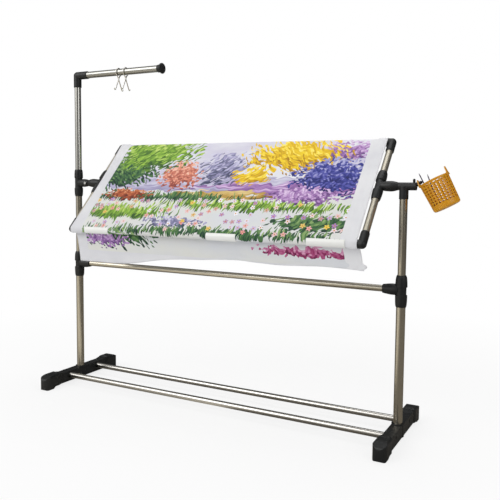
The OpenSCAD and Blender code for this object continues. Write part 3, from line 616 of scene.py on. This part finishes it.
# A layer of dabs: each place gets the centre of its dab, two chances of that dab, and its distance
# from the centre, the rim.
dabs, ends_in, ends_out = new_group(
    "brush dabs",
    {"Place": (0.0, 0.0, 0.0), "Turn": 0.0, "Length": 0.012, "Width": 0.004},
    ("Centre", "Chance", "Tint", "Rim"),
)
dab_size = node(dabs, "ShaderNodeCombineXYZ", in_Z=1.0)
link(dabs, ends_in.outputs["Length"], dab_size.inputs["X"])
link(dabs, ends_in.outputs["Width"], dab_size.inputs["Y"])
turned = node(dabs, "ShaderNodeVectorRotate", rotation_type="Z_AXIS")
link(dabs, ends_in.outputs["Place"], turned.inputs["Vector"])
link(dabs, ends_in.outputs["Turn"], turned.inputs["Angle"])
cells = node(dabs, "ShaderNodeTexVoronoi", voronoi_dimensions="2D", in_Scale=1.0)
cell_place = vectors(dabs, "DIVIDE", turned.outputs["Vector"], dab_size.outputs["Vector"])
link(dabs, cell_place, cells.inputs["Vector"])
dab_centre = vectors(dabs, "MULTIPLY", cells.outputs["Position"], dab_size.outputs["Vector"])
turned_back = node(dabs, "ShaderNodeVectorRotate", rotation_type="Z_AXIS")
link(dabs, dab_centre, turned_back.inputs["Vector"])
link(dabs, maths(dabs, "MULTIPLY", ends_in.outputs["Turn"], -1.0), turned_back.inputs["Angle"])
chances = node(dabs, "ShaderNodeSeparateColor")
link(dabs, cells.outputs["Color"], chances.inputs["Color"])
link(dabs, turned_back.outputs["Vector"], ends_out.inputs["Centre"])
link(dabs, chances.outputs["Red"], ends_out.inputs["Chance"])
link(dabs, chances.outputs["Green"], ends_out.inputs["Tint"])
link(dabs, cells.outputs["Distance"], ends_out.inputs["Rim"])

# A drift: an oval mass of dabs, ragged at its edge, lighter at its top and darker at each dab's rim.
DARKEST, TINT_RANGE = 0.2, 0.8
TOP_LIGHT = 0.28
RIM_SHADE = 0.30
drift, ends_in, ends_out = new_group(
    "drift of dabs",
    {"Centre": (0.0, 0.0, 0.0), "Chance": 0.5, "Tint": 0.5, "Rim": 0.0,
     "Middle": (0.0, 0.0, 0.0), "Reach": (0.1, 0.1, 1.0), "Ragged": 0.6},
    ("Mask", "Tone"),
)
off_middle = vectors(drift, "SUBTRACT", ends_in.outputs["Centre"], ends_in.outputs["Middle"])
off_middle = vectors(drift, "DIVIDE", off_middle, ends_in.outputs["Reach"])
uneven = maths(drift, "SUBTRACT", ends_in.outputs["Chance"], 0.5)
uneven = maths(drift, "MULTIPLY", uneven, ends_in.outputs["Ragged"])
edge = maths(drift, "ADD", vectors(drift, "LENGTH", off_middle, (0, 0, 0)), uneven)
link(drift, maths(drift, "LESS_THAN", edge, 1.0), ends_out.inputs["Mask"])
height = node(drift, "ShaderNodeSeparateXYZ")
link(drift, off_middle, height.inputs["Vector"])
tone = maths(drift, "ADD", maths(drift, "MULTIPLY", ends_in.outputs["Tint"], TINT_RANGE), DARKEST)
tone = maths(drift, "SUBTRACT", tone, maths(drift, "MULTIPLY", height.outputs["Y"], TOP_LIGHT))
rim_shade = maths(drift, "MULTIPLY", ends_in.outputs["Rim"], RIM_SHADE)
tone = maths(drift, "SUBTRACT", tone, rim_shade, clamp=True)
link(drift, tone, ends_out.inputs["Tone"])

# Flower heads: five petals round an eye, at most one head in each cell, turned by chance. A petal is
# half a wave of a cosine round the head, so there are five half waves in a full turn.
PETAL_WAVES = 2.5
HEAD_TURN = 3.0
HEAD_CORE, PETAL_REACH = 0.14, 0.24
EYE_REACH = 0.09
heads, ends_in, ends_out = new_group(
    "flower heads",
    {"Place": (0.0, 0.0, 0.0), "Spacing": 0.02, "Share": 0.5},
    ("Centre", "Mask", "Eye", "Tint"),
)
plots = node(heads, "ShaderNodeTexVoronoi", voronoi_dimensions="2D", in_Scale=1.0, in_Randomness=0.75)
spacing = node(heads, "ShaderNodeCombineXYZ", in_Z=1.0)
link(heads, ends_in.outputs["Spacing"], spacing.inputs["X"])
link(heads, ends_in.outputs["Spacing"], spacing.inputs["Y"])
plot_place = vectors(heads, "DIVIDE", ends_in.outputs["Place"], spacing.outputs["Vector"])
link(heads, plot_place, plots.inputs["Vector"])
chances = node(heads, "ShaderNodeSeparateColor")
link(heads, plots.outputs["Color"], chances.inputs["Color"])
spot = vectors(heads, "MULTIPLY", plots.outputs["Position"], spacing.outputs["Vector"])
off_eye = node(heads, "ShaderNodeSeparateXYZ")
link(heads, vectors(heads, "SUBTRACT", ends_in.outputs["Place"], spot), off_eye.inputs["Vector"])
bearing = maths(heads, "ARCTAN2", off_eye.outputs["Y"], off_eye.outputs["X"])
head_turn = maths(heads, "MULTIPLY", chances.outputs["Blue"], HEAD_TURN)
bearing = maths(heads, "ADD", maths(heads, "MULTIPLY", bearing, PETAL_WAVES), head_turn)
petal = maths(heads, "ABSOLUTE", maths(heads, "COSINE", bearing))
petal = maths(heads, "ADD", maths(heads, "MULTIPLY", petal, PETAL_REACH), HEAD_CORE)
inside = maths(heads, "LESS_THAN", plots.outputs["Distance"], petal)
kept = maths(heads, "LESS_THAN", chances.outputs["Red"], ends_in.outputs["Share"])
link(heads, spot, ends_out.inputs["Centre"])
link(heads, maths(heads, "MULTIPLY", inside, kept), ends_out.inputs["Mask"])
link(heads, maths(heads, "LESS_THAN", plots.outputs["Distance"], EYE_REACH), ends_out.inputs["Eye"])
link(heads, chances.outputs["Green"], ends_out.inputs["Tint"])

# Paints: four colours each, from dark to light. The petals' colours are taken by chance.
PAINTS = {
    "fresh green": (seen(50, 84, 38), seen(96, 140, 48), seen(150, 192, 66), seen(208, 226, 128)),
    "deep green": (seen(22, 50, 40), seen(46, 88, 56), seen(84, 128, 70), seen(146, 176, 108)),
    "gorse yellow": (seen(170, 122, 18), seen(228, 182, 26), seen(248, 216, 44), seen(255, 238, 124)),
    "salmon": (seen(140, 66, 58), seen(200, 112, 92), seen(228, 150, 124), seen(246, 204, 182)),
    "navy": (seen(30, 32, 88), seen(50, 56, 138), seen(88, 90, 176), seen(172, 172, 216)),
    "lilac": (seen(96, 60, 120), seen(152, 108, 172), seen(192, 152, 206), seen(228, 206, 234)),
    "grey violet": (seen(66, 70, 98), seen(116, 116, 150), seen(164, 160, 198), seen(216, 214, 234)),
    "pale hill": (seen(156, 150, 186), seen(178, 172, 204), seen(196, 192, 216), seen(214, 212, 228)),
    "magenta": (seen(104, 30, 70), seen(160, 52, 104), seen(192, 104, 150), seen(226, 176, 204)),
    "ochre": (seen(122, 88, 34), seen(178, 138, 58), seen(208, 174, 96), seen(234, 212, 154)),
    "rust": (seen(86, 34, 24), seen(150, 66, 38), seen(198, 106, 62), seen(228, 164, 116)),
    "petal": (seen(236, 150, 150), seen(246, 244, 250), seen(176, 120, 200), seen(250, 216, 70)),
}
# Layers of dabs: turn in degrees, length and width in metres.
DAB_LAYERS = {
    "leaves left": (38, 0.013, 0.0042),
    "leaves right": (-42, 0.012, 0.0040),
    "blossom": (10, 0.0062, 0.0052),
    "level": (3, 0.040, 0.0050),
    "grass": (82, 0.016, 0.0030),
}
# Drifts, from the back to the front: dabs, middle, reach, raggedness and paint.
DRIFTS = (
    ("level", (0.42, 0.158), (0.46, 0.030), 0.5, "pale hill"),
    ("level", (0.66, 0.172), (0.30, 0.022), 0.7, "lilac"),
    ("blossom", (0.745, 0.040), (0.075, 0.035), 0.9, "lilac"),
    ("leaves left", (0.410, 0.098), (0.066, 0.052), 0.8, "grey violet"),
    ("leaves right", (0.075, 0.118), (0.095, 0.055), 0.6, "deep green"),
    ("leaves left", (0.150, 0.040), (0.135, 0.066), 0.7, "fresh green"),
    ("blossom", (0.275, 0.125), (0.062, 0.048), 0.6, "salmon"),
    ("leaves right", (0.610, 0.052), (0.125, 0.058), 0.8, "gorse yellow"),
    ("leaves left", (0.505, 0.128), (0.050, 0.030), 0.8, "gorse yellow"),
    ("blossom", (0.735, 0.130), (0.100, 0.056), 0.7, "navy"),
    ("level", (0.420, 0.196), (0.150, 0.014), 0.6, "ochre"),
    ("grass", (0.250, 0.205), (0.260, 0.014), 0.6, "deep green"),
    ("blossom", (0.670, 0.196), (0.080, 0.026), 0.8, "lilac"),
    ("blossom", (0.130, 0.200), (0.070, 0.020), 0.8, "rust"),
    ("grass", (0.560, 0.232), (0.270, 0.015), 0.6, "fresh green"),
    ("grass", (0.130, 0.262), (0.170, 0.024), 0.7, "fresh green"),
    ("leaves left", (0.740, 0.280), (0.110, 0.026), 0.8, "deep green"),
    ("blossom", (0.330, 0.292), (0.080, 0.016), 1.0, "grey violet"),
    ("grass", (0.460, 0.322), (0.400, 0.013), 0.7, "deep green"),
    ("leaves right", (0.140, 0.367), (0.125, 0.034), 0.7, "deep green"),
    ("blossom", (0.100, 0.387), (0.070, 0.018), 1.0, "lilac"),
    ("blossom", (0.705, 0.390), (0.130, 0.011), 0.5, "magenta"),
)

canvas_print, tree, shader = new_material("printed canvas")
canvas.data.materials.append(canvas_print)
flat_place = node(tree, "ShaderNodeUVMap", uv_map="flat")
on_cloth = node(tree, "ShaderNodeMapping")
set_inputs(on_cloth, Location=(0, FLAT_H - TOP_LENGTH, 0), Scale=(FLAT_W, -FLAT_H, 1))
link(tree, flat_place.outputs["UV"], on_cloth.inputs["Vector"])
on_cloth = on_cloth.outputs["Vector"]
drift_bend = node(tree, "ShaderNodeTexNoise", noise_dimensions="2D", in_Scale=BEND_SCALE, in_Detail=1.0)
link(tree, on_cloth, drift_bend.inputs["Vector"])
bend = vectors(tree, "SUBTRACT", drift_bend.outputs["Color"], (0.5, 0.5, 0.5))
bend = vectors(tree, "MULTIPLY", bend, (BEND_REACH, BEND_REACH, 0.0))
bent = vectors(tree, "ADD", on_cloth, bend)

clouds = node(tree, "ShaderNodeTexNoise", noise_dimensions="2D", in_Scale=CLOUD_SCALE, in_Detail=4.0)
link(tree, vectors(tree, "MULTIPLY", on_cloth, CLOUD_STRETCH), clouds.inputs["Vector"])
place_parts = node(tree, "ShaderNodeSeparateXYZ")
link(tree, on_cloth, place_parts.inputs["Vector"])
cloudiness = range_of(tree, clouds.outputs["Fac"], 0.0, 1.0, *CLOUD_EDGES)
sky = mixed_colour(tree, cloudiness, seen(206, 202, 222), seen(232, 232, 238))
ground = mixed_colour(tree, cloudiness, seen(226, 226, 220), seen(220, 222, 226))
below_sky = range_of(tree, place_parts.outputs["Y"], 0.0, 1.0, SKY_END, GROUND_START)
picture = mixed_colour(tree, below_sky, sky, ground)

layers = {}
for name, (turn, length, width) in DAB_LAYERS.items():
    turn = math.radians(turn)
    layers[name] = placed_group(tree, dabs, Place=bent, Turn=turn, Length=length, Width=width)


def paint_tone(tree, tone, colours):
    """Turns a tone from 0 to 1 into a paint's colours, dark to light."""
    ramp = node(tree, "ShaderNodeValToRGB")
    steps = ramp.color_ramp.elements
    steps[0].color = colours[0]
    steps[1].color = colours[-1]
    for i, colour in enumerate(colours[1:-1], 1):
        steps.new(i / (len(colours) - 1)).color = colour
    link(tree, tone, ramp.inputs["Fac"])
    return ramp.outputs["Color"]


def laid_drift(tree, below, layer, centre, reach, ragged, paint):
    """Lays one drift of dabs over the picture so far."""
    dab = {key: layer.outputs[key] for key in ("Centre", "Chance", "Tint", "Rim")}
    made = placed_group(
        tree, drift, Middle=(*centre, 0), Reach=(*reach, 1), Ragged=ragged, **dab
    )
    colour = paint_tone(tree, made.outputs["Tone"], PAINTS[paint])
    return mixed_colour(tree, made.outputs["Mask"], below, colour)


for layer, centre, reach, ragged, paint in DRIFTS:
    picture = laid_drift(tree, picture, layers[layer], centre, reach, ragged, paint)

flowers = placed_group(tree, heads, Place=on_cloth, Spacing=FLOWER_SPACING, Share=FLOWER_SHARE)
flower_place = node(tree, "ShaderNodeSeparateXYZ")
link(tree, flowers.outputs["Centre"], flower_place.inputs["Vector"])
in_meadow = between(tree, flower_place.outputs["Y"], MEADOW_TOP, MEADOW_BOTTOM)
petals = paint_tone(tree, flowers.outputs["Tint"], PAINTS["petal"])
blooms = mixed_colour(tree, flowers.outputs["Eye"], petals, seen(206, 150, 40))
flower_mask = maths(tree, "MULTIPLY", flowers.outputs["Mask"], in_meadow)
picture = mixed_colour(tree, flower_mask, picture, blooms)

# The print stops at a straight border; round it the canvas is bare, slightly cool white.
inside_edges = between(tree, place_parts.outputs["X"], PRINT_LEFT, FLAT_W - PRINT_RIGHT)
above_bottom = maths(tree, "LESS_THAN", place_parts.outputs["Y"], PRINT_BOTTOM)
printed = maths(tree, "MULTIPLY", inside_edges, above_bottom)
bare = mixed_colour(tree, cloudiness, seen(222, 222, 226), seen(232, 232, 234))
cloth_colour = mixed_colour(tree, printed, bare, picture)

# Plain weave: warp and weft threads over and under each other, with painted shade a little darker
# between them.
THREAD_PITCH = 0.0011
THREAD_DEPTH = 0.0002
GAP_SHADE = 0.10
weave, ends_in, ends_out = new_group(
    "plain weave", {"Place": (0.0, 0.0, 0.0), "Pitch": THREAD_PITCH}, ("Height",)
)
pitch = node(weave, "ShaderNodeCombineXYZ", in_Z=1.0)
link(weave, ends_in.outputs["Pitch"], pitch.inputs["X"])
link(weave, ends_in.outputs["Pitch"], pitch.inputs["Y"])
threads = node(weave, "ShaderNodeSeparateXYZ")
thread_place = vectors(weave, "DIVIDE", ends_in.outputs["Place"], pitch.outputs["Vector"])
link(weave, thread_place, threads.inputs["Vector"])
warp_wave = maths(weave, "SINE", maths(weave, "MULTIPLY", threads.outputs["X"], math.pi))
weft_wave = maths(weave, "SINE", maths(weave, "MULTIPLY", threads.outputs["Y"], math.pi))
crossing = maths(weave, "MULTIPLY", warp_wave, weft_wave)
over = maths(weave, "GREATER_THAN", crossing, 0.0)
under = maths(weave, "SUBTRACT", 1.0, over)
warp_round = maths(weave, "MULTIPLY", maths(weave, "ABSOLUTE", warp_wave), over)
weft_round = maths(weave, "MULTIPLY", maths(weave, "ABSOLUTE", weft_wave), under)
link(weave, maths(weave, "ADD", warp_round, weft_round), ends_out.inputs["Height"])

canvas_weave = placed_group(tree, weave, Place=on_cloth)
bump = node(tree, "ShaderNodeBump", in_Strength=0.30, in_Distance=THREAD_DEPTH)
link(tree, canvas_weave.outputs["Height"], bump.inputs["Height"])
link(tree, bump.outputs["Normal"], shader.inputs["Normal"])
# Painted shade: the cloth's colour is drawn towards grey where the weave is low, between the threads.
gap_shade_share = range_of(tree, canvas_weave.outputs["Height"], GAP_SHADE, 0.0)
thread_shaded_colour = mixed_colour(tree, gap_shade_share, cloth_colour, seen(150, 150, 152))
link(tree, thread_shaded_colour, shader.inputs["Base Color"])
set_inputs(shader, Roughness=0.86, Specular_IOR_Level=0.25, Sheen_Weight=0.08)

# Back of the cloth: the same canvas, where the print shows through only faintly.
BACK_FADE = 0.62
canvas_back = canvas_print.copy()
canvas_back.name = "back of the canvas"
canvas.data.materials.append(canvas_back)
thickness.material_offset = 1
tree = canvas_back.node_tree
shader = tree.nodes["Principled BSDF"]
# The back takes the front's colour, print and painted shade between the threads, and fades it towards
# white.
print_and_gap_shade = shader.inputs["Base Color"].links[0].from_socket
faded = mixed_colour(tree, BACK_FADE, print_and_gap_shade, seen(224, 224, 222))
link(tree, faded, shader.inputs["Base Color"])
